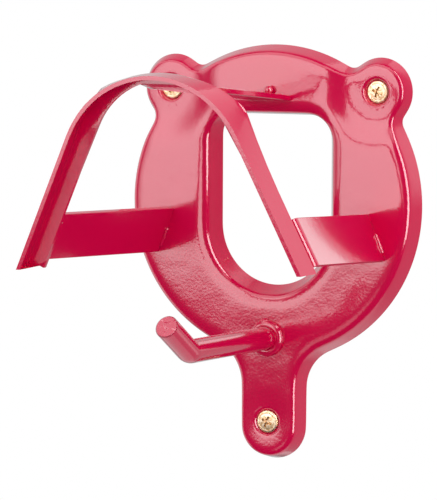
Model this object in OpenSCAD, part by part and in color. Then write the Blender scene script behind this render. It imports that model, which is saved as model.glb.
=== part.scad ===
// Wall-hung bridle rack: a pressed steel plate that carries a leaning saddle arch on three flat
// bars, and a bent rod hook below it. X is right, Y runs into the wall and Z is up. The origin is
// on the wall, midway between the two upper screws. Heights are given from the ring's centre.

/* [Wall plate] */
// Outer radius of the ring where it meets the wall
ring_radius = 65; // [60:1:75]
// Depth of the pressed plate, from the wall to its face
plate_depth = 8.5; // [8:0.5:11]
// Thickness of the pressed sheet
sheet_t = 2; // [1.5:0.25:2.5]
// Slope of the skirt out towards the wall, in degrees
skirt_flare = 19; // [8:1:24]
// Outer radius of the rolled shoulder between skirt and face
shoulder_radius = 3; // [2.5:0.25:3.5]
// Width of the face's soft fall towards the shoulder
crown_width = 3.6; // [2:0.2:4.4]
// Slope of that fall where it meets the shoulder, in degrees
crown_slope = 12; // [4:1:14]
// Radius of each ear
ear_radius = 14; // [13:0.5:17]
// Distance between the two upper screws, at the middle of the ears
screw_spacing = 93; // [90:1:98]
// Height of the ears' screws above the centre of the ring
ear_height = 46.5; // [44:0.5:49]
// How far the ears lie below the ring's face
ear_drop = 3; // [0:0.25:3.25]
// Distance from an ear's middle at which its slope begins
ear_slope_reach = 22; // [18:1:26]
// Radius of the corner between ear and ring
ear_fillet = 4.5; // [3:0.5:6]
// Half width of the bottom tab at the wall
tab_half_width = 14; // [13:0.5:17]
// Distance from the lowest point of the ring down to the centre of the tab's round end
tab_length = 27; // [23:1:38]
// Radius of the corner between ring and tab
neck_fillet = 17; // [12:1:22]
// Flare of the tab's skirt, as a part of the ring's flare
tab_flare = 0.7; // [0.6:0.05:1]

/* [Opening] */
// Half width of the opening at the plate's face
opening_half_width = 27.7; // [22:0.5:30]
// Height of the opening's flat top edge above the centre of the ring
opening_top = 37; // [30:0.5:38]
// Radius of the opening's two top corners
opening_corner = 11.6; // [8:0.5:14]
// Drop from the centre of the ring to the centre of the opening's round bottom
opening_drop = 9.3; // [4:0.5:12]
// Slope of the opening's rim, in millimetres inwards from face to wall
rim_draft = 3; // [1.5:0.25:4]
// Slope of the rim's top edge, in millimetres from face to wall
rim_top_draft = 0.6; // [0.2:0.1:4]
// Outer radius of the roll between face and rim
rim_roll = 3; // [2.5:0.25:3.5]
// Width of the face's soft fall towards the opening
dish_width = 4.4; // [3:0.2:5]
// Slope of that fall where it meets the roll, in degrees
dish_slope = 16; // [4:1:20]

/* [Screws] */
// Diameter over the screw's thread
screw_d = 4.8; // [4:0.1:5]
// Diameter of the plain neck between head and thread
neck_d = 3.6; // [3:0.1:4]
// Diameter of the screw head
head_d = 9.4; // [8.5:0.1:9.8]
// Length of the screw below the edge of its head
screw_length = 28; // [20:1:40]
// Length of the screw's cone point
screw_point = 5; // [3:0.5:7]
// Height of the rounded edge of the screw head
head_edge = 0.7; // [0.4:0.1:0.9]
// Height of the screw head's low crown above that edge
head_crown = 0.35; // [0.1:0.05:0.8]
// Depth of the cross recess
recess_depth = 2; // [1.2:0.1:2.4]
// Width of the wings of the cross recess
recess_wing = 0.9; // [0.7:0.1:1.1]
// Depth of the ear screws' seats below the plate's face
ear_seat_depth = 2.3; // [1.5:0.1:2.4]
// Depth of the tab screw's seat below the plate's face
tab_seat_depth = 1; // [0.6:0.1:2.4]
// Height of the tab's screw above the centre of the tab's round end
tab_screw_lift = 2; // [0:0.5:6]

/* [Saddle arch] */
// Radius of the arch's crown along its front edge
arch_radius = 40.7; // [37:0.1:42]
// Lean of the arch's legs, in degrees from upright
leg_angle = 25.2; // [20:0.2:28]
// Height of the arch from the leg ends to the crown, along its plane
arch_height = 76.1; // [70:0.1:84]
// Height of the leg ends above the centre of the ring, at the front edge
arch_foot_z = -20.6; // [-24:0.1:-12]
// Distance of the arch's front edge from the wall, at the height of the ring's centre
arch_reach = 112.3; // [100:0.1:130]
// Forward tilt of the arch's plane, in degrees
arch_tilt = 2.93; // [0:0.1:5]
// Turn of the arch in its own plane, down at the left, as it was welded on, in degrees
arch_turn = 1.2; // [-2:0.1:2]
// Depth of the arch's lip, from front edge to back
lip_depth = 11; // [9:0.1:16]
// How far the lip spreads outwards from front to back along the legs
leg_spread = 2.3; // [1:0.1:3.5]
// How far the lip rises from front to back at the crown
crown_rise = 0.8; // [0:0.1:1.6]
// Crown radius along the lip's back edge
back_crown_radius = 50; // [46:1:56]
// Shoulder radius along the lip's back edge
back_shoulder_radius = 16; // [12:1:20]
// Extra fullness of the back edge at the shoulders
shoulder_bulge = 1.8; // [0:0.1:2.4]
// Width of the inward flange along the legs
flange_width = 9.3; // [8:0.1:11]
// Width of the inward flange at the top of the crown
crown_flange_width = 3.6; // [3.4:0.1:6]
// Outer radius of the bend between lip and flange
bend_radius = 3; // [2.5:0.25:3.25]
// Thickness of the arch's steel strip
strip_t = 1.6; // [1.4:0.1:2.2]
// Height of the cut corner at the foot of each flange
foot_chamfer = 2.2; // [1:0.2:4]
// Width of that corner
foot_corner = 1.5; // [0.8:0.1:3]

/* [Arms and strap] */
// Width of the flat bar of arms and strap
bar_width = 20; // [16:0.5:22]
// Thickness of the flat bar
bar_t = 2.2; // [1.8:0.1:3]
// Distance of an arm's upper edge inwards from the side of the ring
arm_inset = 20.2; // [19:0.2:23]
// Height of an arm's upper edge at the plate, from the centre of the ring
arm_z = -2.6; // [-8:0.2:2]
// Lean of the arms at the plate, in degrees from upright
arm_lean = 22.4; // [18:0.2:26]
// Height of the arm's upper corner above the leg end, along the arch's plane
arm_foot_gap = 21.2; // [19:0.2:26]
// How far the arm's bend stands out past the back corner of the leg
arm_overhang = 0.6; // [0:0.1:1.5]
// Length of the arm's tab behind the flange
arm_tab = 9; // [7:0.5:11]
// Drop from the top of the ring to the strap's top face at the plate
strap_drop = 20.5; // [18:0.5:23]
// Drop from the top of the arch's back edge to the strap's top face at its front end
strap_set = 2.9; // [2.4:0.1:3.2]
// Length at the strap's front end that is bent up further
strap_tip = 9; // [7:0.5:15]
// Rise of the bent-up front end, in degrees
strap_tip_rise = 13; // [8:0.5:20]

/* [Hook] */
// Diameter of the hook's round rod
rod_d = 9.5; // [8:0.1:11]
// Height of the hook's root above the lowest point of the ring
hook_lift = 9.7; // [8:0.1:14]
// Length of the hook from the plate's face to the corner of its bend
hook_reach = 71.8; // [60:0.1:80]
// Length of the hook from the corner of its bend to its end
hook_tip = 23; // [18:0.5:40]
// Rise of the hook's straight part, in degrees
hook_rise = 1; // [0:0.1:5]
// Rise of the hook's end, in degrees
hook_tip_rise = 30.7; // [20:0.1:45]
// Radius of the hook's bend along its middle
hook_bend_radius = 8; // [6:0.5:20]

/* [Welds] */
// Radius of the weld beads beside the arms and the strap
bead_r = 0.9; // [0.8:0.1:1.8]
// Length of those beads
bead_length = 7; // [3:0.5:12]
// Distance of the arms' beads below the arm's upper edge
bead_drop = 13; // [7:0.5:14]
// Radius of the weld blob on top of the strap, at the plate
blob_r = 1.9; // [1.4:0.1:2.4]
// Radius of the round weld collar at the hook's root
collar_r = 2; // [1.4:0.1:2.6]

/* [Hidden] */

paint = "#b8003f";
zinc = "#c9a25f";

// Clearance between a screw and its seat
seat_gap = 0.1;
// Distance in front of the wall at which the thread begins, behind the seats
thread_start = 0.2;
// How far the cup's rim runs into the sheet round it
cup_overlap = 0.3;
// Least height of a seat's floor in front of the wall
cup_floor = 0.4;
// Turn of the cross recesses, in degrees
recess_turn = 20;
// Broken edge of the rod's sawn end
edge_break = 0.5;
// Size that reaches past any piece, for cuts
far = 200;

// Hangs the pieces, which are drawn about the ring's centre, below the line of the upper screws
module hung() {
    translate([0, 0, -ear_height]) children();
}

function unit(v) = v / norm(v);
function polar(r, a) = [r * cos(a), r * sin(a)];
// Points of an arc round c, from angle a0 to a1 in n steps, without its last point
function arc(c, r, a0, a1, n) = [for (i = [0 : n - 1]) c + polar(r, a0 + (a1 - a0) * i / n)];
function mirrored(list) = [for (i = [len(list) - 1 : -1 : 0]) [-list[i][0], list[i][1], list[i][2]]];

// A closed solid from rings of points that each have the same count, capped at both ends
module loft(rings) {
    n = len(rings[0]);
    m = len(rings);
    sides = [for (j = [0 : m - 2], i = [0 : n - 1]) let (k = (i + 1) % n)
        each [[j * n + i, (j + 1) * n + k, j * n + k], [j * n + i, (j + 1) * n + i, (j + 1) * n + k]]];
    start = [for (i = [0 : n - 1]) i];
    end = [for (i = [n - 1 : -1 : 0]) (m - 1) * n + i];
    polyhedron([for (r = rings) each r], concat(sides, [start, end]), convexity = 10);
}

// A closed loop of rings, with no caps, such as a shell with an opening
module loop_loft(rings) {
    n = len(rings[0]);
    m = len(rings);
    sides = [for (j = [0 : m - 1], i = [0 : n - 1])
        let (k = (i + 1) % n, j2 = (j + 1) % m)
        each [[j * n + i, j * n + k, j2 * n + k], [j * n + i, j2 * n + k, j2 * n + i]]];
    polyhedron([for (r = rings) each r], sides, convexity = 10);
}

// Wall plate

// Centre of a fillet of radius f that touches two circles from outside, on the side of turn
function fillet_centre(c1, r1, c2, r2, f, turn) =
    let (d = norm(c2 - c1), a = r1 + f, b = r2 + f,
        along = (a * a - b * b + d * d) / (2 * d), e = (c2 - c1) / d, h = sqrt(a * a - along * along))
    c1 + e * along + turn * h * [-e[1], e[0]];
function heading(v) = atan2(v[1], v[0]);

ear_c = [screw_spacing / 2, ear_height];
cup_r = head_d / 2 + 0.7;
cup_lip = cup_r + 1.6;
tab_reach = ring_radius + tab_length;
dip_c = fillet_centre([0, 0], ring_radius, ear_c, ear_radius, ear_fillet, 1);
waist_c = fillet_centre([0, 0], ring_radius, ear_c, ear_radius, ear_fillet, -1);
neck_x = tab_half_width + neck_fillet;
neck_c = [neck_x, -sqrt(pow(ring_radius + neck_fillet, 2) - neck_x * neck_x)];

// Right half of the outline, from the crown down to the tab, moved inwards by k, as X, Z and flare
function half_outline(k) = let (g = k * tab_flare, neck_turn = heading(neck_c)) concat(
    [for (p = arc([0, 0], ring_radius - k, 90, heading(dip_c), 7)) [p[0], p[1], 1]],
    [for (p = arc(dip_c, ear_fillet + k, heading(-dip_c), heading(ear_c - dip_c), 4)) [p[0], p[1], 1]],
    [for (p = arc(ear_c, ear_radius - k, heading(dip_c - ear_c), heading(waist_c - ear_c), 12))
        [p[0], p[1], 1]],
    [for (p = arc(waist_c, ear_fillet + k, heading(ear_c - waist_c), 180 + heading(waist_c), 4))
        [p[0], p[1], 1]],
    [for (p = arc([0, 0], ring_radius - k, heading(waist_c), neck_turn, 20)) [p[0], p[1], 1]],
    [for (i = [0 : 7]) let (b = i / 7, kk = k + (g - k) * b,
        p = neck_c + polar(neck_fillet + kk, 180 + neck_turn + (0 - neck_turn) * b)) [p[0], p[1], 1]],
    [for (p = arc([0, -tab_reach], tab_half_width - g, 0, -90, 8)) [p[0], p[1], 1]]);

// Lowers a point towards the wall near the ears: fully at the depth top, not at all on the wall
function lower(x, y, z, top) = let (d = norm([abs(x) - ear_c[0], z - ear_c[1]]),
    q = min(1, max(0, (ear_slope_reach - d) / (ear_slope_reach - cup_lip))))
    [x, y + ear_drop * q * q * (3 - 2 * q) * min(1, -y / top), z];

// The whole outline at depth y: the right half, the lowest point, and the left half
function outline(k, y, top = plate_depth) = let (h = half_outline(k),
    last = [0, k * tab_flare - tab_reach - tab_half_width, 1],
    left = mirrored([for (i = [1 : len(h) - 1]) h[i]]))
    [for (p = concat(h, [last], left)) lower(p[0], y, p[1], top)];

// Radius of the D-shaped opening in direction a, its edge moved inwards by k, and its top by kt
function opening_ray(a, k, kt) = let (w = opening_half_width - k, t = opening_top - kt, rc = opening_corner - k,
    side = w / max(abs(cos(a)), 0.001), top = sin(a) > 0 ? t / sin(a) : far, r0 = min(side, top),
    p = polar(r0, a), c = [sign(cos(a)) * (w - rc), t - rc], in_corner = abs(p[0]) > w - rc && p[1] > t - rc,
    low = p[1] < -opening_drop, cc = low ? [0, -opening_drop] : c, rr = low ? w : rc,
    u = polar(1, a), dot = cc * u)
    (in_corner || low) ? dot + sqrt(dot * dot - cc * cc + rr * rr) : r0;
angles = [for (p = outline(0, 0)) atan2(p[2], p[0])];
function opening(k, kt, y, top = plate_depth) = [for (a = angles) let (r = opening_ray(a, k, kt))
    lower(r * cos(a), y, r * sin(a), top)];
// A ring on the face at depth y, a part q of the way from its outer margin to the opening's margin
function face_ring(q, y, top) = let (o = outline(crown_inset, y), m = opening(dish_start, dish_start, y))
    [for (i = [0 : len(o) - 1]) lower(o[i][0] * (1 - q) + m[i][0] * q, y, o[i][2] * (1 - q) + m[i][2] * q, top)];

// Section of the pressed edge, as inset and depth: flare, rolled shoulder, then the face's soft fall
crown_r = crown_width / sin(crown_slope);
shoulder_end = 90 - crown_slope;
shoulder_y = crown_r * (1 - cos(crown_slope)) + shoulder_radius * cos(crown_slope) - plate_depth;
shoulder_inset = shoulder_radius * cos(skirt_flare)
    + (shoulder_radius * sin(skirt_flare) - shoulder_y) * tan(skirt_flare);
crown_inset = shoulder_inset - shoulder_radius * cos(shoulder_end) + crown_width;
dish_r = dish_width / sin(dish_slope);
roll_start = 90 - dish_slope;
dish_start = rim_roll * (cos(roll_start) - 1) - dish_width;
roll_y = dish_r * (1 - cos(dish_slope)) + rim_roll * cos(dish_slope) - plate_depth;
module pressed_shell() {
    inner_r = shoulder_radius - sheet_t;
    foot_in = sheet_t / cos(skirt_flare);
    roll_in = rim_roll - sheet_t;
    turns = [skirt_flare, 38, 58, shoulder_end];
    back_turns = [shoulder_end, 55, skirt_flare];
    crown_turns = [90 - crown_slope / 2, 90];
    outer = concat([outline(0, 0)], [for (a = turns)
        outline(shoulder_inset - shoulder_radius * cos(a), shoulder_y - shoulder_radius * sin(a))],
        [for (a = crown_turns) outline(crown_inset - crown_r * cos(a), crown_r * (1 - sin(a)) - plate_depth)]);
    dish = [for (q = [0 : 0.35 : 0.7]) let (a = 90 - dish_slope * q, k = dish_start + dish_r * cos(a))
        opening(k, k, dish_r * (1 - sin(a)) - plate_depth)];
    roll = [for (a = [roll_start, 55, 35, 15]) let (k = rim_roll * (cos(a) - 1))
        opening(k, k, roll_y - rim_roll * sin(a))];
    rim = [opening(rim_draft, rim_top_draft, 0), opening(rim_draft - sheet_t, rim_top_draft - sheet_t, 0)];
    back = plate_depth - sheet_t;
    roll_back = [for (a = [15, roll_start]) let (k = roll_in * cos(a) - rim_roll)
        opening(k, k, roll_y - roll_in * sin(a), back)];
    inner = [for (a = back_turns)
        outline(shoulder_inset - inner_r * cos(a), shoulder_y - inner_r * sin(a), back)];
    face = [for (q = [0.25, 0.5, 0.75]) face_ring(q, -plate_depth, plate_depth)];
    face_back = [for (q = [1, 0.5, 0]) face_ring(q, -back, back)];
    loop_loft(concat(outer, face, dish, roll, rim, roll_back, face_back, inner, [outline(foot_in, 0)]));
}

// A screw seat: a dished cup with a countersunk bore, its axis on the wall's normal
module place_seat(p) {
    translate([p[0], 0, p[1]]) rotate([90, 0, 0]) children();
}
module cup(face, depth) {
    head_z = face - depth;
    sink = (head_d - screw_d) / 2;
    floor_z = max(cup_floor, head_z - sink - 0.9);
    wall_z = min(head_z - 0.4, face - sheet_t);
    rotate_extrude($fn = 40) polygon([[screw_d / 2 + 0.3, floor_z], [cup_r - 0.2, floor_z],
        [cup_lip, wall_z], [cup_lip, face], [cup_r + 0.6, face],
        [cup_r, face - 0.4], [head_d / 2 + 0.2, head_z], [screw_d / 2 + 0.3, head_z - sink + 0.1]]);
}
ear_left = [-ear_c[0], ear_c[1]];
tab_screw = [0, tab_screw_lift - tab_reach];
ear_face = plate_depth - ear_drop;
// Each seat's place, the height of the face round it, and its depth below that
seats = [[ear_left, ear_face, ear_seat_depth], [ear_c, ear_face, ear_seat_depth],
    [tab_screw, plate_depth, tab_seat_depth]];
module wall_plate() color(paint) hung() {
    difference() {
        pressed_shell();
        for (s = seats) place_seat(s[0]) cylinder(r = cup_lip - cup_overlap, h = far, $fn = 40);
    }
    for (s = seats) place_seat(s[0]) cup(s[1], s[2]);
}

// Screws

module screw(face, depth) {
    head_z = face - depth + seat_gap;
    head_r = head_d / 2;
    neck_r = neck_d / 2;
    sink = (head_d - screw_d) / 2;
    edge_in = head_r - head_edge;
    edge = [for (a = [0 : 18 : 72]) [edge_in + head_edge * cos(a), head_edge * sin(a)]];
    crown = [for (i = [4 : -1 : 0]) let (q = i / 4) [edge_in * q, head_edge + head_crown * (1 - q * q)]];
    recess_z = head_edge + head_crown - recess_depth;
    color(zinc) translate([0, 0, head_z]) difference() {
        union() {
            rotate_extrude($fn = 36) polygon(concat([[0, -sink], [screw_d / 2, -sink]], edge, crown));
            translate([0, 0, thread_start - head_z - 1])
                cylinder(r = neck_r, h = head_z - thread_start + 1, $fn = 24);
            translate([0, 0, screw_point - screw_length])
                cylinder(r = screw_d / 2, h = screw_length - screw_point + thread_start - head_z, $fn = 24);
            translate([0, 0, -screw_length]) cylinder(r1 = 0.3, r2 = screw_d / 2, h = screw_point, $fn = 24);
        }
        // Cross recess
        for (a = [45, 135]) rotate([0, 0, a + recess_turn])
            translate([-head_r * 0.48, -recess_wing / 2, recess_z])
                cube([head_r * 0.96, recess_wing, recess_depth + head_edge]);
        translate([0, 0, recess_z]) cylinder(r1 = recess_wing * 0.7, r2 = recess_wing * 1.5,
            h = recess_depth + head_edge, $fn = 16);
    }
}
module screw_top_left() hung() place_seat(ear_left) screw(ear_face, ear_seat_depth);
module screw_top_right() hung() place_seat(ear_c) screw(ear_face, ear_seat_depth);
module screw_bottom() hung() place_seat(tab_screw) screw(plate_depth, tab_seat_depth);

// Saddle arch

// Frame of the arch: X across, depth back from the front edge's plane, height above the leg ends
arch_y = -arch_reach;
turn_z = arch_height * 0.6;
function arch_place(x, back, up) = let (c = cos(arch_turn), s = sin(arch_turn), rise = up - turn_z,
    turned_x = x * c - rise * s, turned_up = turn_z + x * s + rise * c)
    [turned_x, arch_y - arch_foot_z * tan(arch_tilt) + back * cos(arch_tilt) - turned_up * sin(arch_tilt),
        arch_foot_z + turned_up * cos(arch_tilt) + back * sin(arch_tilt)];

// A profile in the arch's plane: crown arc, shoulder arc and straight leg, by its tangent angle
steep = 90 - leg_angle;
leg_normal = [sin(steep), cos(steep)];
front_crown_z = arch_height - arch_radius;
front_leg_dist = arch_radius + front_crown_z * leg_normal[1];
function crown_point(r, top, t) = [r * sin(t), top - r + r * cos(t)];
function leg_point(dist, up) = [(dist - up * leg_normal[1]) / leg_normal[0], up];

back_top = arch_height + crown_rise;
back_leg_dist = front_leg_dist + leg_spread;
back_c1 = [0, back_top - back_crown_radius];
back_c1_dist = back_c1 * leg_normal;
// Where the back edge's crown arc passes into its shoulder arc
back_share = (back_leg_dist - back_shoulder_radius - back_c1_dist)
    / (back_crown_radius - back_shoulder_radius);
back_turn = steep - acos(min(1, back_share));
back_c2 = back_c1 + (back_crown_radius - back_shoulder_radius) * [sin(back_turn), cos(back_turn)];
function back_point(t) = t < back_turn ? crown_point(back_crown_radius, back_top, t)
    : back_c2 + back_shoulder_radius * [sin(t), cos(t)];

edge_top = back_top - crown_flange_width;
edge_leg_dist = back_leg_dist - flange_width;
edge_radius = (edge_leg_dist - edge_top * leg_normal[1]) / (1 - leg_normal[1]);

// Height at which a profile's shoulder passes into the straight leg
front_knee = crown_point(arch_radius, arch_height, steep)[1];
back_knee = back_point(steep)[1];
edge_knee = crown_point(edge_radius, edge_top, steep)[1];

// Section of the lip and flange at one station, from its three guide points and its normal
function arch_section(f, b, e, nrm, side) = let (t = strip_t, d = lip_depth, r = bend_radius,
    put = function(p, back) arch_place(side * p[0], back, p[1]),
    lip = function(back, inset) put(f + (b - f) * back / d - nrm * inset, back),
    turned = function(a, rr) put(b + nrm * (-r + rr * cos(a)), d - r + rr * sin(a)))
    concat([lip(0, 0), lip(d - r, 0)], [for (a = [25, 45, 65]) turned(a, r)], [turned(90, r)],
    [put(e, d), put(e, d - t)],
    [for (a = [90, 45]) turned(a, r - t)], [lip(d - r, t), lip(0, t)]);

leg_steps = 7;
arc_steps = 15;
// The legs' sections turn from level, at the foot, to square with the leg, at the shoulder
foot_normal = [1 / leg_normal[0], 0];
function arch_half(side) = concat(
    [for (i = [0 : leg_steps - 1]) let (s = i / leg_steps,
        up = foot_chamfer * min(i, 1) + (front_knee - foot_chamfer) * max(0, i - 1) / (leg_steps - 1),
        share = up / front_knee, up_b = up + (back_knee - front_knee) * share,
        up_e = up + (edge_knee - front_knee) * share,
        bulge = shoulder_bulge * pow(max(0, (share - 0.5) / 0.5), 2),
        b = leg_point(back_leg_dist, up_b), e = leg_point(edge_leg_dist, up_e),
        nrm = leg_normal * share + foot_normal * (1 - share), cut = i == 0 ? foot_corner : 0)
        arch_section(leg_point(front_leg_dist, up), b + nrm * bulge, e + nrm * cut, nrm, side)],
    [for (i = [0 : arc_steps]) let (a = steep * (1 - i / arc_steps), n = [sin(a), cos(a)],
        bulge = shoulder_bulge * pow(max(0, (a - 20) / (steep - 20)), 0.5))
        arch_section(crown_point(arch_radius, arch_height, a), back_point(a) + n * bulge,
            crown_point(edge_radius, edge_top, a), n, side)]);
module saddle_strip() {
    left = arch_half(-1);
    loft(concat(arch_half(1), [for (i = [len(left) - 2 : -1 : 0]) left[i]]));
}
module saddle_arch() color(paint) hung() saddle_strip();

// Arms

// A bar's corner path: from a start on the plate, round a bend at p1, to the end of the tab
function bend_points(p1, a, b, r, n) = let (half = acos(a * b) / 2, c = p1 + unit(a + b) * r / sin(half),
    s = p1 + a * r / tan(half), e = p1 + b * r / tan(half), sweep = 2 * (90 - half))
    [for (i = [0 : n]) let (q = sin(sweep * (1 - i / n)), w = sin(sweep * i / n))
        c + ((s - c) * q + (e - c) * w) / sin(sweep)];
arm_bend = 3;
arm_x = ring_radius - arm_inset;
leg_along = [leg_normal[1], -leg_normal[0]];
// The four edges of an arm's strip, each as its points from the plate to the tab's end, as a right
// arm; side is 1 for the right one and -1 for the left one, which is mirrored afterwards
function arm_edge(drop, inner, side) = let (
    across = [sin(arm_lean), 0, -cos(arm_lean)],
    p0 = [arm_x, -plate_depth, arm_z] + across * drop,
    top = leg_point(back_leg_dist + arm_overhang, arm_foot_gap) + leg_along * drop,
    g1 = arch_place(side * top[0], lip_depth, top[1]), p1 = [side * g1[0], g1[1], g1[2]],
    tip = top - leg_normal * arm_tab, g2 = arch_place(side * tip[0], lip_depth, tip[1]),
    p2 = [side * g2[0], g2[1], g2[2]],
    a = unit(p0 - p1), b = unit(p2 - p1), shift = (a + b) * bar_t / sin(acos(a * b)),
    q1 = inner ? p1 + shift : p1, q0 = q1 + a * ((-plate_depth - q1[1]) / a[1]),
    q2 = p2 + (inner ? shift - b * (shift * b) : [0, 0, 0]))
    concat([q0], bend_points(q1, a, b, inner ? arm_bend - bar_t : arm_bend, 6), [q2]);
module arm(side) {
    edges = [arm_edge(0, false, side), arm_edge(0, true, side), arm_edge(bar_width, true, side),
        arm_edge(bar_width, false, side)];
    loft([for (i = [0 : len(edges[0]) - 1]) [for (e = edges) e[i]]]);
}
module right_arm() color(paint) hung() arm(1);
module left_arm() color(paint) hung() mirror([1, 0, 0]) arm(-1);

// Crown strap

// Point where a line in the YZ plane meets the back face of the arch
function meet_arch_back(p, slope) = let (base = arch_place(0, lip_depth, 0), k = tan(arch_tilt),
    y = (p[1] - base[2] - slope * p[0] - base[1] / k) / (-1 / k - slope)) [y, p[1] + slope * (y - p[0])];
strap_z = ring_radius - strap_drop;
tip_slope = -tan(strap_tip_rise);
strap_root = [-plate_depth, strap_z];
arch_top = arch_place(0, lip_depth, back_top);
tip_y = arch_top[1] + strap_tip;
strap_knee = [tip_y, arch_top[2] - strap_set + tip_slope * strap_tip];
strap_slope = (strap_knee[1] - strap_root[1]) / (strap_knee[0] - strap_root[0]);
strap_rise = atan(-strap_slope);
strap_low = bar_t / cos(strap_rise);
tip_low = bar_t / cos(strap_tip_rise);
// Where the undersides of the straight part and of the tip cross
knee_low = strap_knee + [(tip_low - strap_low) / (tip_slope - strap_slope), 0]
    + [0, strap_slope * (tip_low - strap_low) / (tip_slope - strap_slope) - strap_low];
module strap_bar() {
    tip_top = meet_arch_back(strap_knee, tip_slope);
    tip_bottom = meet_arch_back(strap_knee - [0, tip_low], tip_slope);
    translate([-bar_width / 2, 0, 0]) rotate([90, 0, 90]) linear_extrude(bar_width)
        polygon([strap_root, strap_knee, tip_top, tip_bottom, knee_low, strap_root - [0, strap_low]]);
}
module crown_strap() color(paint) hung() strap_bar();

// Hook

hook_z = hook_lift - ring_radius;
hook_root = [-plate_depth, hook_z];
hook_turn = hook_tip_rise - hook_rise;
bend_cut = hook_bend_radius * tan(hook_turn / 2);
// Points round the rod at p, square to its rise, with radius r
function rod_ring(p, rise, r) = [for (i = [0 : 39]) let (u = r * cos(9 * i), w = r * sin(9 * i))
    [u, p[0] + w * sin(rise), p[1] + w * cos(rise)]];
module bent_rod() {
    dir = [-cos(hook_rise), sin(hook_rise)];
    tip_dir = [-cos(hook_tip_rise), sin(hook_tip_rise)];
    corner = hook_root + dir * hook_reach;
    centre = corner - dir * bend_cut + [sin(hook_rise), cos(hook_rise)] * hook_bend_radius;
    end = corner + tip_dir * hook_tip;
    root = [for (p = rod_ring(hook_root, 0, rod_d / 2)) [p[0], p[1], hook_z + (p[2] - hook_z) / cos(hook_rise)]];
    bend = [for (i = [0 : 8]) let (a = hook_rise + hook_turn * i / 8)
        rod_ring(centre - [sin(a), cos(a)] * hook_bend_radius, a, rod_d / 2)];
    loft(concat([root], bend, [rod_ring(end - tip_dir * edge_break, hook_tip_rise, rod_d / 2),
        rod_ring(end, hook_tip_rise, rod_d / 2 - edge_break)]));
}
module tack_hook() color(paint) hung() bent_rod();

// Welds

// A round bead along x with rounded ends, centred on the origin
module bead(r, length) {
    rotate([0, 90, 0]) cylinder(r = r, h = length, center = true, $fn = 16);
    for (side = [-1, 1]) translate([side * length / 2, 0, 0]) sphere(r = r, $fn = 16);
}
module before_plate() {
    difference() {
        children();
        translate([-far, -plate_depth, -far]) cube(2 * far);
    }
}
module arm_welds(side) {
    outer = arm_edge(bead_drop, false, side)[0];
    inner = arm_edge(bead_drop, true, side)[0];
    before_plate() difference() {
        for (p = [outer, inner])
            translate([p[0], -plate_depth - 0.3, p[2]]) rotate([0, 90 - arm_lean, 0]) bead(bead_r, bead_length);
        arm(side);
    }
}
module weld_right_arm() color(paint) hung() arm_welds(1);
module weld_left_arm() color(paint) hung() mirror([1, 0, 0]) arm_welds(-1);
module weld_strap_root() color(paint) hung() before_plate() difference() {
    translate([0.8, -plate_depth - blob_r * 0.8, strap_z + blob_r]) sphere(r = blob_r, $fn = 24);
    strap_bar();
}
module weld_strap_tip() color(paint) hung() {
    p = meet_arch_back(strap_knee, tip_slope);
    difference() {
        translate([0, p[0] + 0.3, p[1] + 0.3]) bead(bead_r, bead_length);
        strap_bar();
        translate([0, -seat_gap, 0]) strap_bar();
        saddle_strip();
    }
}
module weld_hook_root() color(paint) hung() before_plate() difference() {
    union() {
        translate([0, -plate_depth - 0.7, hook_z]) rotate([90, 0, 0])
            rotate_extrude($fn = 36) translate([rod_d / 2 + 0.8, 0]) circle(r = collar_r, $fn = 14);
        translate([-0.8, -plate_depth - 0.4, hook_z + rod_d / 2 + 1.6]) sphere(r = collar_r, $fn = 16);
    }
    bent_rod();
}

wall_plate();
saddle_arch();
left_arm();
right_arm();
crown_strap();
tack_hook();
weld_left_arm();
weld_right_arm();
weld_strap_root();
weld_strap_tip();
weld_hook_root();
screw_top_left();
screw_top_right();
screw_bottom();
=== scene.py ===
import math

import bpy
from mathutils import Matrix, Vector


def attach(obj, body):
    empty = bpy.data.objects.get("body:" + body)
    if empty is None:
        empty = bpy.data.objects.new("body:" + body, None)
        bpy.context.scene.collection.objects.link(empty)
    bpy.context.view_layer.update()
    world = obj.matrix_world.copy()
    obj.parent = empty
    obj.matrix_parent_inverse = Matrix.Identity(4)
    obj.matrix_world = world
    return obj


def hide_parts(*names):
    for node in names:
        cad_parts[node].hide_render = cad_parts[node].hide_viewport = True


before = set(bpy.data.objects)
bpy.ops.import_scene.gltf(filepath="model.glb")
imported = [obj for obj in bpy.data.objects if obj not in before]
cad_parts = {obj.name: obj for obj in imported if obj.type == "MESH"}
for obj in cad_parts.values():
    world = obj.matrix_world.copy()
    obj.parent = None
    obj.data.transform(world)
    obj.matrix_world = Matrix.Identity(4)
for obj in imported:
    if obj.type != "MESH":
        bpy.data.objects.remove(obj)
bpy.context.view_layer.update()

# Bridle rack. Metres, X right, Y into the wall, Z up, the origin midway between the upper screws.
# Sizes of the rack's own pieces are given in millimetres and turned to metres where they are used.
MM = 0.001


def linear(hex_colour):
    """An sRGB hex value as linear red, green, blue and alpha."""
    parts = [int(hex_colour[i : i + 2], 16) / 255 for i in (0, 2, 4)]
    return [c / 12.92 if c <= 0.04045 else ((c + 0.055) / 1.055) ** 2.4 for c in parts] + [1.0]


def add_node(tree, kind, settings=None, inputs=None):
    """One shader node: settings are its attributes, inputs are values or output sockets."""
    node = tree.nodes.new(kind)
    for key, value in (settings or {}).items():
        setattr(node, key, value)
    for key, value in (inputs or {}).items():
        if isinstance(value, bpy.types.NodeSocket):
            tree.links.new(value, node.inputs[key])
        else:
            node.inputs[key].default_value = value
    return node


def window(tree, level, edges):
    """A level that falls softly to nothing past each edge.

    Each edge holds the value to test, where the level is nothing, and where it is full.
    """
    for value, nothing_at, full_at in edges:
        level = add_node(tree, "ShaderNodeMapRange", {"interpolation_type": "SMOOTHSTEP"},
            {"Value": value, "From Min": nothing_at, "From Max": full_at, "To Max": level}).outputs["Result"]
    return level


def deselect():
    if bpy.context.object and bpy.context.object.mode != "OBJECT":
        bpy.ops.object.mode_set(mode="OBJECT")
    bpy.ops.object.select_all(action="DESELECT")


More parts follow.
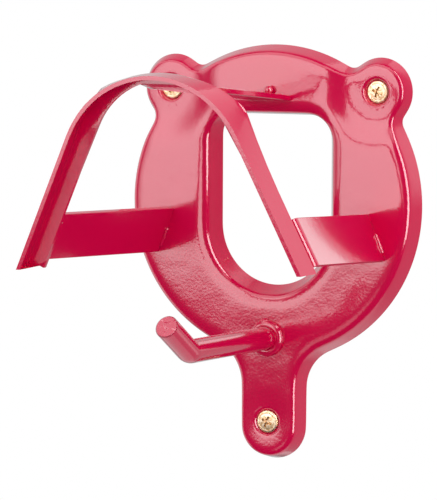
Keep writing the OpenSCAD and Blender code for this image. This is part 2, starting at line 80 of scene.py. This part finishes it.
def activate(piece):
    deselect()
    piece.select_set(True)
    bpy.context.view_layer.objects.active = piece


def settle(piece):
    """Puts the piece's place into its mesh."""
    activate(piece)
    bpy.ops.object.transform_apply(location=True, rotation=True, scale=True)


def apply_modifiers(piece):
    activate(piece)
    for modifier in list(piece.modifiers):
        bpy.ops.object.modifier_apply(modifier=modifier.name)


# Camera, fitted to the round ring, the ears and the bars of the photograph

VIEW = Vector((-0.43843, 0.89495, -0.08274)).normalized()
AIM = Vector((-0.02663, 0, -0.0673))
DISTANCE = 1.52638
LENS = 264.63
ROLL = math.radians(0.262)
NEAREST = 0.05


def make_camera():
    data = bpy.data.cameras.new("camera")
    camera = bpy.data.objects.new("camera", data)
    bpy.context.scene.collection.objects.link(camera)
    data.lens = LENS
    data.clip_start = NEAREST
    camera.location = AIM - VIEW * DISTANCE
    turn = VIEW.to_track_quat("-Z", "Y") @ Matrix.Rotation(ROLL, 4, "Z").to_quaternion()
    camera.rotation_euler = turn.to_euler()
    bpy.context.scene.camera = camera


# Studio: one big soft panel in front, a strip light at the right, even white light from all sides

OBJECT_CENTRE = Vector((0, -0.05, -0.06))

# The key panel, upright and turned towards the rack: its middle, width, lower and upper edge
KEY_X, KEY_Y = -0.462, -0.887
KEY_WIDTH = 1.226
KEY_LOW, KEY_HIGH = -0.235, 0.72
KEY_RADIANCE = 4.1
# Parts of its width and height over which it fades towards its edges
FADE_LEFT, FADE_RIGHT, FADE_LOW, FADE_HIGH = 0.09, 0.46, 0.115, 0.2

# Lamps that only shape the colour: name, azimuth and elevation in degrees, width, height, radiance
FILLS = [("side_fill", 75, 20, 0.5, 0.9, 1.3), ("top_fill", -40, 55, 0.6, 0.6, 0.8)]
FILL_DISTANCE = 0.9

# Even light on the colour, from below and from above, and the elevations between which it changes
EVEN_BELOW, EVEN_ABOVE = 0.72, 1.0
EVEN_LOW, EVEN_HIGH = -50, 30

# What only the gloss shows beside the key panel: left and right azimuth from the front, low and high
# elevation and half the width of the soft edges, all in degrees, and the level
GLOSS_PANELS = [
    # Light above the key panel
    (-64, 34, 34, 66, 5, 2.2),
    # Strip light at the right
    (52, 80, -20, 62, 4, 10),
    # Low bright spot on the backdrop at the right
    (136, 147, -24, -8, 3, 0.7),
    # White wall at the left
    (-105, -62, -35, 45, 6, 1.4),
    # Backdrop behind at the right, brighter in its upper part, and at the left
    (112, 186, 2, 75, 8, 1.0),
    (94, 186, -50, 75, 8, 0.45),
    (-186, -98, -30, 75, 8, 0.6),
    # Bright patch low in front, which the arch's left flange shows
    (-20, -8, -27, -15, 3, 1.2),
    # White floor behind, at the right and at the left
    (94, 186, -88, -50, 6, 0.9),
    (-186, -98, -88, -36, 6, 0.9),
]

FLOOR_RADIUS, FLOOR_Z = 1.3, -0.45


def direction_to(azimuth, elevation):
    """A unit vector, by its angle from the front towards the right and its height, in degrees."""
    a, e = math.radians(azimuth), math.radians(elevation)
    return Vector((math.sin(a) * math.cos(e), -math.cos(a) * math.cos(e), math.sin(e)))


def softbox(name, place, aim, width, height, radiance):
    """A rectangular lamp of an even radiance."""
    data = bpy.data.lights.new(name, "AREA")
    data.shape = "RECTANGLE"
    data.size, data.size_y = width, height
    data.energy = radiance * math.pi * width * height
    lamp = bpy.data.objects.new(name, data)
    bpy.context.scene.collection.objects.link(lamp)
    lamp.location = place
    lamp.rotation_euler = (aim - place).to_track_quat("-Z", "Y").to_euler()
    lamp.visible_camera = False
    return lamp


def make_key_panel():
    """The panel that the gloss shows from near by, faded towards its edges."""
    middle = Vector((KEY_X, KEY_Y, (KEY_LOW + KEY_HIGH) / 2))
    key = softbox("key_panel", middle, Vector((0, 0, middle.z)), KEY_WIDTH, KEY_HIGH - KEY_LOW, KEY_RADIANCE)
    key.visible_diffuse = False
    key.data.use_nodes = True
    tree = key.data.node_tree
    on_panel = add_node(tree, "ShaderNodeNewGeometry").outputs["Parametric"]
    split = add_node(tree, "ShaderNodeSeparateXYZ", inputs={"Vector": on_panel})
    across, along = split.outputs["X"], split.outputs["Y"]
    glow = window(tree, 1.0, [(across, 0, FADE_RIGHT), (across, 1, 1 - FADE_LEFT), (along, 0, FADE_LOW),
        (along, 1, 1 - FADE_HIGH)])
    tree.links.new(glow, tree.nodes["Emission"].inputs["Strength"])


def make_fills():
    for name, azimuth, elevation, width, height, radiance in FILLS:
        place = OBJECT_CENTRE + direction_to(azimuth, elevation) * FILL_DISTANCE
        lamp = softbox(name, place, OBJECT_CENTRE, width, height, radiance)
        lamp.visible_glossy = False


def glow_of_panels(tree, azimuth, elevation):
    """The sum of the gloss panels, for a direction by its azimuth and elevation in radians."""
    glow = 0.0
    for left, right, low, high, soft, level in GLOSS_PANELS:
        edges = [(azimuth, left, soft), (azimuth, right, -soft),
            (elevation, low, soft), (elevation, high, -soft)]
        one = window(tree, level, [(value, math.radians(edge - fade), math.radians(edge + fade))
            for value, edge, fade in edges])
        glow = add_node(tree, "ShaderNodeMath", {"operation": "ADD"}, {0: glow, 1: one}).outputs[0]
    return glow


def make_surroundings():
    """White for the camera, the panels for the gloss, and even light for the colour."""
    world = bpy.data.worlds.new("studio")
    bpy.context.scene.world = world
    world.use_nodes = True
    tree = world.node_tree
    tree.nodes.clear()
    direction = add_node(tree, "ShaderNodeTexCoord").outputs["Generated"]
    from_front = add_node(tree, "ShaderNodeVectorMath", {"operation": "MULTIPLY"},
        {0: direction, 1: (1, -1, 1)})
    split = add_node(tree, "ShaderNodeSeparateXYZ", inputs={"Vector": from_front.outputs["Vector"]})
    azimuth = add_node(tree, "ShaderNodeMath", {"operation": "ARCTAN2"},
        {0: split.outputs["X"], 1: split.outputs["Y"]}).outputs[0]
    elevation = add_node(tree, "ShaderNodeMath", {"operation": "ARCSINE"}, {0: split.outputs["Z"]}).outputs[0]
    even_light = add_node(tree, "ShaderNodeMapRange", {"interpolation_type": "SMOOTHSTEP"},
        {"Value": elevation, "From Min": math.radians(EVEN_LOW), "From Max": math.radians(EVEN_HIGH),
            "To Min": EVEN_BELOW, "To Max": EVEN_ABOVE})
    path = add_node(tree, "ShaderNodeLightPath")
    seen_by_piece = add_node(tree, "ShaderNodeMix", {"data_type": "FLOAT"}, {0: path.outputs["Is Glossy Ray"],
        2: even_light.outputs["Result"], 3: glow_of_panels(tree, azimuth, elevation)})
    level = add_node(tree, "ShaderNodeMix", {"data_type": "FLOAT"},
        {0: path.outputs["Is Camera Ray"], 2: seen_by_piece.outputs[0], 3: 1.0})
    white = add_node(tree, "ShaderNodeBackground",
        inputs={"Color": (1, 1, 1, 1), "Strength": level.outputs[0]})
    add_node(tree, "ShaderNodeOutputWorld", inputs={"Surface": white.outputs["Background"]})


def make_floor():
    deselect()
    bpy.ops.mesh.primitive_circle_add(vertices=96, radius=FLOOR_RADIUS, fill_type="NGON",
        location=(0, 0, FLOOR_Z))
    floor = bpy.context.object
    floor.name = "floor"
    settle(floor)
    floor.visible_glossy = False
    floor.visible_diffuse = False
    paper = bpy.data.materials.new("white_studio_paper")
    paper.use_nodes = True
    shader = paper.node_tree.nodes["Principled BSDF"]
    shader.inputs["Base Color"].default_value = linear("F4F4F2")
    shader.inputs["Roughness"].default_value = 0.9
    floor.data.materials.append(paper)


# Materials

# The baked film's small swells and its slow waves: size and height, in mm
SWELL_SIZE, SWELL_HEIGHT = 1.05, 0.03
WAVE_SIZE, WAVE_HEIGHT = 4.8, 0.05
# The spray lies heavier on the plate's lower half: heights in mm and shares of the peel there
LIGHT_SPRAY_Z, HEAVY_SPRAY_Z = -45, -85
LIGHT_SPRAY, HEAVY_SPRAY = 0.75, 1.0
# Slow waviness of the pressed sheet, in mm
SHEET_WAVE_SIZE, SHEET_WAVE_HEIGHT = 21, 0.25
# The press drew the tab in round its screw hole: height of the hole, radius and depth, in mm
TAB_SCREW_Z, TAB_DISH_RADIUS, TAB_DISH_DEPTH = -136.5, 16, 0.7
# The hook's end rises 30.7 degrees, and its cut face lies this far along that direction, in mm.
# The saw marks begin within ROD_END_FADE of it
ROD_END_DIRECTION = (0, -0.8599, 0.5105)
ROD_END, ROD_END_FADE = 40.5, 0.1
SAW_MARK_SIZE, SAW_MARK_HEIGHT = 4.2, 0.8
# The colour cloud and the fine grain of the zinc, in mm
ZINC_CLOUD_SIZE, ZINC_GRAIN_HEIGHT = 1.4, 0.08
# How near another surface has to be for the painted shade to turn the zinc brown, in mm
ZINC_SHADE_REACH = 1.2
# Shares of open air at which the zinc is all painted-shade brown, and all its own bright colour
ZINC_FULL_SHADE_AT, ZINC_UNSHADED_AT = 0.35, 0.85


def new_material(name):
    material = bpy.data.materials.new(name)
    material.use_nodes = True
    tree = material.node_tree
    shader = tree.nodes["Principled BSDF"]
    place = add_node(tree, "ShaderNodeTexCoord").outputs["Object"]
    return material, tree, shader, place


def powder_coat(name, peel, relief=None, spray=None):
    """Polyester powder coat, sprayed and baked: a deep glossy raspberry with a light orange peel.

    peel is the strength of the orange peel. relief gives the height of the steel below the film, and
    spray the share of the peel, at each place.
    """
    material, tree, shader, place = new_material(name)
    # Opaque raspberry pigment with a soft sheen
    shader.inputs["Base Color"].default_value = linear("CC0043")
    shader.inputs["Roughness"].default_value = 0.18
    shader.inputs["IOR"].default_value = 1.5
    shader.inputs["Specular IOR Level"].default_value = 0.3
    # The film's closed surface, which mirrors the studio almost sharply
    shader.inputs["Coat Weight"].default_value = 1.0
    shader.inputs["Coat Roughness"].default_value = 0.07
    shader.inputs["Coat IOR"].default_value = 1.5
    swells = add_node(tree, "ShaderNodeTexNoise",
        inputs={"Vector": place, "Scale": 1 / (SWELL_SIZE * MM), "Detail": 1})
    waves = add_node(tree, "ShaderNodeTexNoise",
        inputs={"Vector": place, "Scale": 1 / (WAVE_SIZE * MM), "Detail": 1, "Roughness": 0.4})
    slow = add_node(tree, "ShaderNodeBump",
        inputs={"Height": waves.outputs["Fac"], "Strength": 1.0, "Distance": WAVE_HEIGHT * MM * peel})
    if relief:
        steel = add_node(tree, "ShaderNodeBump",
            inputs={"Height": relief(tree, place), "Strength": 1.0, "Distance": 1.0})
        tree.links.new(steel.outputs["Normal"], slow.inputs["Normal"])
    height = swells.outputs["Fac"]
    if spray:
        height = add_node(tree, "ShaderNodeMath", {"operation": "MULTIPLY"},
            {0: height, 1: spray(tree, place)}).outputs[0]
    film = add_node(tree, "ShaderNodeBump", inputs={"Height": height, "Normal": slow.outputs["Normal"],
        "Strength": 1.0, "Distance": SWELL_HEIGHT * MM * peel})
    tree.links.new(film.outputs["Normal"], shader.inputs["Normal"])
    tree.links.new(film.outputs["Normal"], shader.inputs["Coat Normal"])
    return material


def plate_spray(tree, place):
    """Share of the orange peel on the plate, by height."""
    height = add_node(tree, "ShaderNodeSeparateXYZ", inputs={"Vector": place}).outputs["Z"]
    return add_node(tree, "ShaderNodeMapRange", {"interpolation_type": "SMOOTHSTEP"},
        {"Value": height, "From Min": LIGHT_SPRAY_Z * MM, "From Max": HEAVY_SPRAY_Z * MM,
            "To Min": LIGHT_SPRAY, "To Max": HEAVY_SPRAY}).outputs["Result"]


def pressed_sheet(tree, place):
    """Height of the plate's sheet: slow waves, and a dish round the tab's screw."""
    on_face = add_node(tree, "ShaderNodeVectorMath", {"operation": "MULTIPLY"}, {0: place, 1: (1, 0, 1)})
    away = add_node(tree, "ShaderNodeVectorMath", {"operation": "DISTANCE"},
        {0: on_face.outputs["Vector"], 1: (0, 0, TAB_SCREW_Z * MM)})
    dish = window(tree, TAB_DISH_DEPTH * MM, [(away.outputs["Value"], 0, TAB_DISH_RADIUS * MM)])
    waves = add_node(tree, "ShaderNodeTexNoise",
        inputs={"Vector": place, "Scale": 1 / (SHEET_WAVE_SIZE * MM), "Detail": 1, "Roughness": 0.5})
    return add_node(tree, "ShaderNodeMath", {"operation": "MULTIPLY_ADD"},
        {0: waves.outputs["Fac"], 1: SHEET_WAVE_HEIGHT * MM, 2: dish}).outputs[0]


def sawn_end(tree, place):
    """Height of the saw marks that show through the paint on the hook's cut end."""
    along = add_node(tree, "ShaderNodeVectorMath", {"operation": "DOT_PRODUCT"},
        {0: place, 1: ROD_END_DIRECTION})
    on_end = window(tree, SAW_MARK_HEIGHT * MM,
        [(along.outputs["Value"], (ROD_END - ROD_END_FADE) * MM, (ROD_END + ROD_END_FADE) * MM)])
    marks = add_node(tree, "ShaderNodeTexNoise",
        inputs={"Vector": place, "Scale": 1 / (SAW_MARK_SIZE * MM), "Detail": 2, "Roughness": 0.5})
    return add_node(tree, "ShaderNodeMath", {"operation": "MULTIPLY"},
        {0: marks.outputs["Fac"], 1: on_end}).outputs[0]


def yellow_zinc():
    """Hardened steel, yellow zinc plated and passivated: pale brass with a soft sheen.

    Where little light reaches it, as in the cross recess, a painted shade turns it brown.
    """
    material, tree, shader, place = new_material("yellow_zinc_plate")
    shader.inputs["Metallic"].default_value = 1.0
    shader.inputs["Roughness"].default_value = 0.42
    cloud = add_node(tree, "ShaderNodeTexNoise",
        inputs={"Vector": place, "Scale": 1 / (ZINC_CLOUD_SIZE * MM), "Detail": 3})
    ramp = add_node(tree, "ShaderNodeValToRGB", inputs={"Fac": cloud.outputs["Fac"]})
    for stop, position, colour in zip(ramp.color_ramp.elements, (0.35, 0.65), ("D2A878", "F8E2C8")):
        stop.position = position
        stop.color = linear(colour)
    # Painted shade: the zinc is mixed towards brown A8763A where other surfaces are near, as in the cross
    # recess
    zinc_unshaded_share = add_node(tree, "ShaderNodeAmbientOcclusion", {"samples": 8, "only_local": True},
        {"Distance": ZINC_SHADE_REACH * MM})
    bright = window(tree, 1.0, [(zinc_unshaded_share.outputs["AO"], ZINC_FULL_SHADE_AT, ZINC_UNSHADED_AT)])
    zinc_with_painted_shade = add_node(tree, "ShaderNodeMix", {"data_type": "RGBA"},
        {0: bright, 6: linear("A8763A"), 7: ramp.outputs["Color"]})
    tree.links.new(zinc_with_painted_shade.outputs[2], shader.inputs["Base Color"])
    grain = add_node(tree, "ShaderNodeBump",
        inputs={"Height": cloud.outputs["Fac"], "Strength": 0.6, "Distance": ZINC_GRAIN_HEIGHT * MM})
    tree.links.new(grain.outputs["Normal"], shader.inputs["Normal"])
    return material


# Screws, in mm along their axis from the head's edge, where the head is widest

HEAD_RADIUS = 4.7
THREAD_RADIUS = 2.4
CORE_RADIUS = 1.7
NECK_RADIUS = 1.78
THREAD_PITCH = 2.2
SCREW_LENGTH = 28
POINT_LENGTH = 5
# Radius of the tip, and radius and height above it where the point gets blunter
TIP_RADIUS = 0.12
POINT_SHOULDER = (1.0, 2.2)
# Length of the step from core to neck, and depths where the neck widens and the head's cone begins
NECK_STEP = 0.6
NECK_FLARE, HEAD_CONE = 3.2, 2.3
SCREW_SMOOTH_ANGLE = 35
# Radius and height of the head's outline: rounded edge, shallow groove and low crown
HEAD_OUTLINE = [(HEAD_RADIUS, 0), (HEAD_RADIUS, 0.18), (4.58, 0.46), (4.36, 0.64), (4.05, 0.72), (3.8, 0.74),
    (3.7, 0.6), (3.42, 0.6), (3.32, 0.78), (2.4, 0.92), (0.6, 1.0), (0, 1.0)]
# Cross recess: length, width and depth of its wings, and the cone between them as radius and height
WING = (4.6, 1.0, 2)
WING_MIDDLE = 1.15
RECESS_CONE = [(0, -0.5), (0.7, -0.5), (1.6, 1.4), (0, 1.4)]
# The small marks between the wings
MARK = (5.0, 0.22, 0.5)
MARK_MIDDLE = 1.0

# Each screw: place of its head's edge, depth where its thread ends, and turn of its recess in degrees
SCREWS = {
    "screw_top_left": ((-46.5, -3.3, 0), 4.4, 20),
    "screw_top_right": ((46.5, -3.3, 0), 4.4, 20),
    "screw_bottom": ((0, -7.6, -136.5), 8.8, 24),
}


def turned_piece(name, outline, sides):
    """A piece turned about Z, from radius and height in mm, that begins and ends on the axis."""
    deselect()
    radius, height = outline[1]
    bpy.ops.mesh.primitive_circle_add(vertices=sides, radius=radius * MM, fill_type="NGON",
        location=(0, 0, height * MM))
    piece = bpy.context.object
    piece.name = name
    bpy.ops.object.mode_set(mode="EDIT")
    bpy.ops.mesh.select_all(action="SELECT")
    for next_radius, next_height in outline[2:-1]:
        bpy.ops.mesh.extrude_region_move(
            TRANSFORM_OT_translate={"value": (0, 0, (next_height - height) * MM)})
        share = next_radius / radius
        bpy.ops.transform.resize(value=(share, share, 1), center_override=(0, 0, next_height * MM))
        radius, height = next_radius, next_height
    bpy.ops.mesh.select_all(action="SELECT")
    bpy.ops.mesh.normals_make_consistent(inside=False)
    bpy.ops.object.mode_set(mode="OBJECT")
    settle(piece)
    return piece


def box_piece(name, size, middle, turn):
    """A box of a size in mm, its middle at this height in mm, turned about Z."""
    deselect()
    bpy.ops.mesh.primitive_cube_add(size=1, location=(0, 0, middle * MM), rotation=(0, 0, turn))
    piece = bpy.context.object
    piece.name = name
    piece.scale = [side * MM for side in size]
    settle(piece)
    return piece


def cut(piece, tool):
    """Takes the tool's shape out of the piece and removes the tool."""
    modifier = piece.modifiers.new("cut", "BOOLEAN")
    modifier.operation = "DIFFERENCE"
    modifier.solver = "EXACT"
    modifier.object = tool
    apply_modifiers(piece)
    bpy.data.objects.remove(tool)


def make_thread(low, high):
    """A closed rib of triangular section wound round the core, between two heights."""
    deselect()
    bpy.ops.mesh.primitive_circle_add(vertices=3, radius=1, fill_type="NOTHING", location=(0, 0, 0),
        rotation=(math.pi / 2, 0, 0))
    rib = bpy.context.object
    rib.name = "thread"
    settle(rib)
    # The rib's foot lies a little inside the core, and its crest a little inside the thread's size
    foot, crest, half_width = CORE_RADIUS * 0.94, THREAD_RADIUS * 0.985, THREAD_PITCH * 0.36
    start = low + THREAD_PITCH * 0.4
    section = [(foot, -half_width), (crest, 0), (foot, half_width)]
    for vertex, (radius, height) in zip(rib.data.vertices, section):
        vertex.co = (radius * MM, 0, (start + height) * MM)
    winding = rib.modifiers.new("winding", "SCREW")
    winding.steps = winding.render_steps = 28
    winding.iterations = int((high - low) / THREAD_PITCH)
    winding.screw_offset = THREAD_PITCH * MM
    winding.use_merge_vertices = False
    apply_modifiers(rib)
    bpy.ops.object.mode_set(mode="EDIT")
    bpy.ops.mesh.select_all(action="DESELECT")
    bpy.ops.mesh.select_non_manifold()
    bpy.ops.mesh.fill()
    bpy.ops.mesh.select_all(action="SELECT")
    bpy.ops.mesh.normals_make_consistent(inside=False)
    bpy.ops.object.mode_set(mode="OBJECT")
    return rib


def make_screw(node, place, neck, recess_turn, zinc):
    """One wood screw, its point towards +Y and its head's edge at place."""
    tip, point = -SCREW_LENGTH, POINT_LENGTH - SCREW_LENGTH
    shoulder_radius, shoulder_height = POINT_SHOULDER
    shank = [(0, tip), (TIP_RADIUS, tip), (shoulder_radius, tip + shoulder_height), (CORE_RADIUS, point),
        (CORE_RADIUS, -neck - NECK_STEP), (NECK_RADIUS, -neck), (NECK_RADIUS, -NECK_FLARE),
        (THREAD_RADIUS, -HEAD_CONE)]
    screw = turned_piece(node + "_turned", shank + HEAD_OUTLINE, 48)
    for wing_turn in (0, math.pi / 2):
        cut(screw, box_piece("wing", WING, WING_MIDDLE, wing_turn))
    cut(screw, turned_piece("recess", RECESS_CONE, 24))
    for mark_turn in (math.pi / 4, -math.pi / 4):
        cut(screw, box_piece("mark", MARK, MARK_MIDDLE, mark_turn))
    thread = make_thread(point, -neck)
    activate(screw)
    thread.select_set(True)
    bpy.ops.object.join()
    # The head turns to face the room, and then about the screw's own axis
    screw.rotation_euler = (math.pi / 2, 0, 0)
    settle(screw)
    screw.rotation_euler = (0, math.radians(recess_turn), 0)
    settle(screw)
    screw.location = [side * MM for side in place]
    settle(screw)
    bpy.ops.object.shade_smooth_by_angle(angle=math.radians(SCREW_SMOOTH_ANGLE))
    screw.data.materials.clear()
    screw.data.materials.append(zinc)
    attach(screw, "root")
    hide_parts(node)


# Painted pieces, which begin as merged copies of the solids

# Points of a solid nearer than this, in mm, are one point
MERGE_DISTANCE = 0.002
# Slope between two faces, in degrees, up to which they count as one flat
FLAT_ANGLE = 0.5
# Width of the round that the paint leaves on a cut edge, in mm, and the slope that counts as an edge
PAINT_ROUND, EDGE_ANGLE = 0.35, 35
SMOOTH_ANGLE = 40


def smooth(value):
    """Rises softly from 0 to 1."""
    value = min(1.0, max(0.0, value))
    return value * value * (3 - 2 * value)


def smoother(value):
    """Rises from 0 to 1 more softly still, with no jump of curvature at its ends."""
    value = min(1.0, max(0.0, value))
    return value ** 3 * (value * (6 * value - 15) + 10)


def merged_copy(node):
    """A copy of the node's solid, its triangles merged, left in edit mode with all of it selected."""
    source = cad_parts[node]
    piece = bpy.data.objects.new(node + "_painted", source.data.copy())
    piece.matrix_world = source.matrix_world.copy()
    bpy.context.scene.collection.objects.link(piece)
    settle(piece)
    bpy.ops.object.mode_set(mode="EDIT")
    bpy.ops.mesh.select_all(action="SELECT")
    bpy.ops.mesh.remove_doubles(threshold=MERGE_DISTANCE * MM)
    return piece


def join_flats():
    """Turns the triangles of each flat face into one face, in edit mode, and leaves that mode."""
    bpy.ops.mesh.dissolve_limited(angle_limit=math.radians(FLAT_ANGLE))
    bpy.ops.object.mode_set(mode="OBJECT")


def round_edges(piece):
    bevel = piece.modifiers.new("paint edge", "BEVEL")
    bevel.width = PAINT_ROUND * MM
    bevel.segments = 3
    bevel.limit_method = "ANGLE"
    bevel.angle_limit = math.radians(EDGE_ANGLE)
    apply_modifiers(piece)


def finish_piece(piece, node, material, flatness=100):
    """Shades the piece, gives it its paint and puts it in the place of its solid.

    flatness is how strongly the larger faces keep their own direction.
    """
    activate(piece)
    bpy.ops.object.shade_smooth_by_angle(angle=math.radians(SMOOTH_ANGLE))
    flats = piece.modifiers.new("flat faces stay flat", "WEIGHTED_NORMAL")
    flats.weight = flatness
    flats.keep_sharp = True
    apply_modifiers(piece)
    piece.data.materials.clear()
    piece.data.materials.append(material)
    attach(piece, "root")
    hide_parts(node)


# Wall plate, in mm

PLATE_DEPTH = 8.5
# The ears lie lower than the ring's face, flat round their screws and sloped beyond
EAR_X, EAR_DROP, EAR_FLAT_RADIUS = 46.5, 3.0, 7.0
# How far from the screw the slope begins: on the solid, and on the copy, whose fine mesh takes a softer one
EAR_SLOPE_REACH, EAR_SOFT_REACH = 22.0, 27.0
# Distances from the wall: past the first the face is level, and between the others softening sets in
LEVEL_DEPTH, HARD_DEPTH, SOFT_DEPTH = 8.45, 7.8, 8.2
# Slope in degrees from which an edge of the pressing stays sharp
SHARP_EDGE = 50


def slope_ears(piece, back_out):
    """Presses the ears down towards the wall in one smooth slope, or first takes the coarse one back out."""
    reach = EAR_SLOPE_REACH if back_out else EAR_SOFT_REACH
    for vertex in piece.data.vertices:
        away = math.hypot(abs(vertex.co.x) / MM - EAR_X, vertex.co.z / MM)
        near = (reach - away) / (reach - EAR_FLAT_RADIUS)
        share = smooth(near) if back_out else smoother(near)
        factor = 1 - share * EAR_DROP / PLATE_DEPTH
        vertex.co.y = vertex.co.y / factor if back_out else vertex.co.y * factor


def even_out_face(piece):
    """Turns the long thin triangles of the level face, left by the holes, into even ones."""
    activate(piece)
    bpy.ops.object.mode_set(mode="EDIT")
    bpy.ops.mesh.select_mode(type="FACE")
    bpy.ops.mesh.select_all(action="DESELECT")
    bpy.ops.object.mode_set(mode="OBJECT")
    for face in piece.data.polygons:
        face.select = all(piece.data.vertices[i].co.y < -LEVEL_DEPTH * MM for i in face.vertices)
    bpy.ops.object.mode_set(mode="EDIT")
    bpy.ops.mesh.quads_convert_to_tris()
    bpy.ops.mesh.beautify_fill(angle_limit=math.pi)
    bpy.ops.object.mode_set(mode="OBJECT")


def round_pressing(piece):
    """Rounds the rolls of the pressing, and keeps its cut edges sharp."""
    bpy.ops.object.mode_set(mode="EDIT")
    bpy.ops.mesh.select_mode(type="VERT")
    bpy.ops.mesh.select_all(action="SELECT")
    bpy.ops.mesh.tris_convert_to_quads(face_threshold=math.radians(30), shape_threshold=math.radians(60))
    bpy.ops.mesh.select_mode(type="EDGE")
    bpy.ops.mesh.select_all(action="DESELECT")
    bpy.ops.mesh.edges_select_sharp(sharpness=math.radians(SHARP_EDGE))
    bpy.ops.transform.edge_crease(value=1.0)
    bpy.ops.mesh.select_mode(type="VERT")
    bpy.ops.object.mode_set(mode="OBJECT")
    rounding = piece.modifiers.new("rounded pressing", "SUBSURF")
    rounding.levels = rounding.render_levels = 2
    apply_modifiers(piece)


def soften_face(piece):
    """Rounds the face's falls towards shoulder and opening, as the press leaves them; the edges stay."""
    group = piece.vertex_groups.new(name="face")
    for vertex in piece.data.vertices:
        depth = -vertex.co.y / MM
        if depth > HARD_DEPTH:
            share = smooth((depth - HARD_DEPTH) / (SOFT_DEPTH - HARD_DEPTH))
            group.add([vertex.index], share, "REPLACE")
    soft = piece.modifiers.new("soft falls", "SMOOTH")
    soft.factor, soft.iterations = 0.5, 14
    soft.use_x = soft.use_z = False
    soft.vertex_group = "face"
    apply_modifiers(piece)
    piece.vertex_groups.clear()


def make_plate(paint):
    piece = merged_copy("wall_plate")
    bpy.ops.object.mode_set(mode="OBJECT")
    slope_ears(piece, back_out=True)
    even_out_face(piece)
    round_pressing(piece)
    soften_face(piece)
    slope_ears(piece, back_out=False)
    finish_piece(piece, "wall_plate", paint, flatness=50)


# Saddle arch, in mm, in its own frame: x across, back from its front edge, up from the leg ends

ARCH_TILT, ARCH_TURN = math.radians(2.93), math.radians(1.2)
ARCH_FOOT = Vector((0, -111.25, -67.1))
# Height of the point about which the arch is turned, of its crown's centre, and of its knees
ARCH_TURN_UP, ARCH_CENTRE_UP, KNEE_UP = 45.66, 35.4, 52.7
# The legs' lip: direction square to it, distance, spread from front to back, depth and angle in degrees
LEG_NORMAL = (0.9048, 0.4258)
LEG_DISTANCE, LEG_SPREAD, LIP_DEPTH = 55.77, 2.3, 11.0
LEG_STEEP = 64.8
# Past both of these, behind the front edge and inwards from the lip, lies only the flange's free edge
FLANGE_BACK, FLANGE_IN = 8.8, 5.5
# How far that edge moves back and outwards, and where this fades out above the knees
FLANGE_OPENING, FLANGE_NARROWING = 0.95, 0.9
FADE_ABOVE_KNEE, FADE_HEIGHT = 6, 24
# The solid's swell at each shoulder, the lip's reach inwards, and the angle where the swell begins
SWELL, LIP_REACH, SWELL_ANGLE = 1.8, 4.5, 20


def left_swell(x, up):
    """How far the solid's lip swells at this place of the left shoulder, and the lip's lean there."""
    angle = math.degrees(math.atan2(abs(x), up - ARCH_CENTRE_UP)) if up > ARCH_CENTRE_UP else 90
    if up > KNEE_UP:
        swell = SWELL * max(0, (angle - SWELL_ANGLE) / (LEG_STEEP - SWELL_ANGLE)) ** 0.5
    else:
        swell = SWELL * max(0, 2 * up / KNEE_UP - 1) ** 2
    return swell, math.radians(min(angle, LEG_STEEP))


def open_arch(piece):
    """Opens the legs' flanges by about 10 degrees, and takes the swell off the left shoulder."""
    turn_c, turn_s = math.cos(ARCH_TURN), math.sin(ARCH_TURN)
    tilt_c, tilt_s = math.cos(ARCH_TILT), math.sin(ARCH_TILT)
    fade_top = KNEE_UP + FADE_ABOVE_KNEE
    for vertex in piece.data.vertices:
        place = vertex.co / MM - ARCH_FOOT
        back, turned_up = place.y * tilt_c + place.z * tilt_s, place.z * tilt_c - place.y * tilt_s
        rise = turned_up - ARCH_TURN_UP
        x = place.x * turn_c + rise * turn_s
        up = ARCH_TURN_UP - place.x * turn_s + rise * turn_c
        side = 1 if x > 0 else -1
        lip_at = LEG_DISTANCE + LEG_SPREAD * back / LIP_DEPTH
        inwards = lip_at - abs(x) * LEG_NORMAL[0] - up * LEG_NORMAL[1]
        if back > FLANGE_BACK and inwards > FLANGE_IN and up < fade_top:
            share = smooth((fade_top - up) / FADE_HEIGHT)
            back += FLANGE_OPENING * share
            x += side * FLANGE_NARROWING * share * LEG_NORMAL[0]
            up += FLANGE_NARROWING * share * LEG_NORMAL[1]
        elif side < 0 and inwards < LIP_REACH and up > KNEE_UP / 2:
            swell, lean = left_swell(x, up)
            x += swell * back / LIP_DEPTH * math.sin(lean)
            up -= swell * back / LIP_DEPTH * math.cos(lean)
        rise = up - ARCH_TURN_UP
        turned_x, turned_up = x * turn_c - rise * turn_s, ARCH_TURN_UP + x * turn_s + rise * turn_c
        in_arch = Vector((turned_x, back * tilt_c - turned_up * tilt_s, turned_up * tilt_c + back * tilt_s))
        vertex.co = (ARCH_FOOT + in_arch) * MM


def make_arch(paint):
    piece = merged_copy("saddle_arch")
    bpy.ops.object.mode_set(mode="OBJECT")
    open_arch(piece)
    bpy.ops.object.mode_set(mode="EDIT")
    join_flats()
    round_edges(piece)
    finish_piece(piece, "saddle_arch", paint)


def make_bar(node, paint):
    """An arm or the strap: flat bar, its edges rounded by the paint."""
    piece = merged_copy(node)
    join_flats()
    round_edges(piece)
    finish_piece(piece, node, paint)


def make_round_piece(node, paint):
    """The hook or a weld, whose solid is round enough as it is."""
    piece = merged_copy(node)
    join_flats()
    finish_piece(piece, node, paint)


bpy.context.scene.view_settings.view_transform = "Standard"
make_camera()
make_key_panel()
make_fills()
make_surroundings()
make_floor()

arch_and_weld_paint = powder_coat("raspberry_powder_coat", 0.7)
plate_paint = powder_coat("raspberry_powder_coat_plate", 1.0, relief=pressed_sheet, spray=plate_spray)
bar_paint = powder_coat("raspberry_powder_coat_bars", 0.4)
rod_paint = powder_coat("raspberry_powder_coat_sawn_rod", 0.7, relief=sawn_end)
zinc = yellow_zinc()

make_plate(plate_paint)
make_arch(arch_and_weld_paint)
for bar in ("left_arm", "right_arm", "crown_strap"):
    make_bar(bar, bar_paint)
make_round_piece("tack_hook", rod_paint)
for weld in ("weld_left_arm", "weld_right_arm", "weld_strap_root", "weld_strap_tip", "weld_hook_root"):
    make_round_piece(weld, arch_and_weld_paint)
for node, (place, neck, recess_turn) in SCREWS.items():
    make_screw(node, place, neck, recess_turn, zinc)
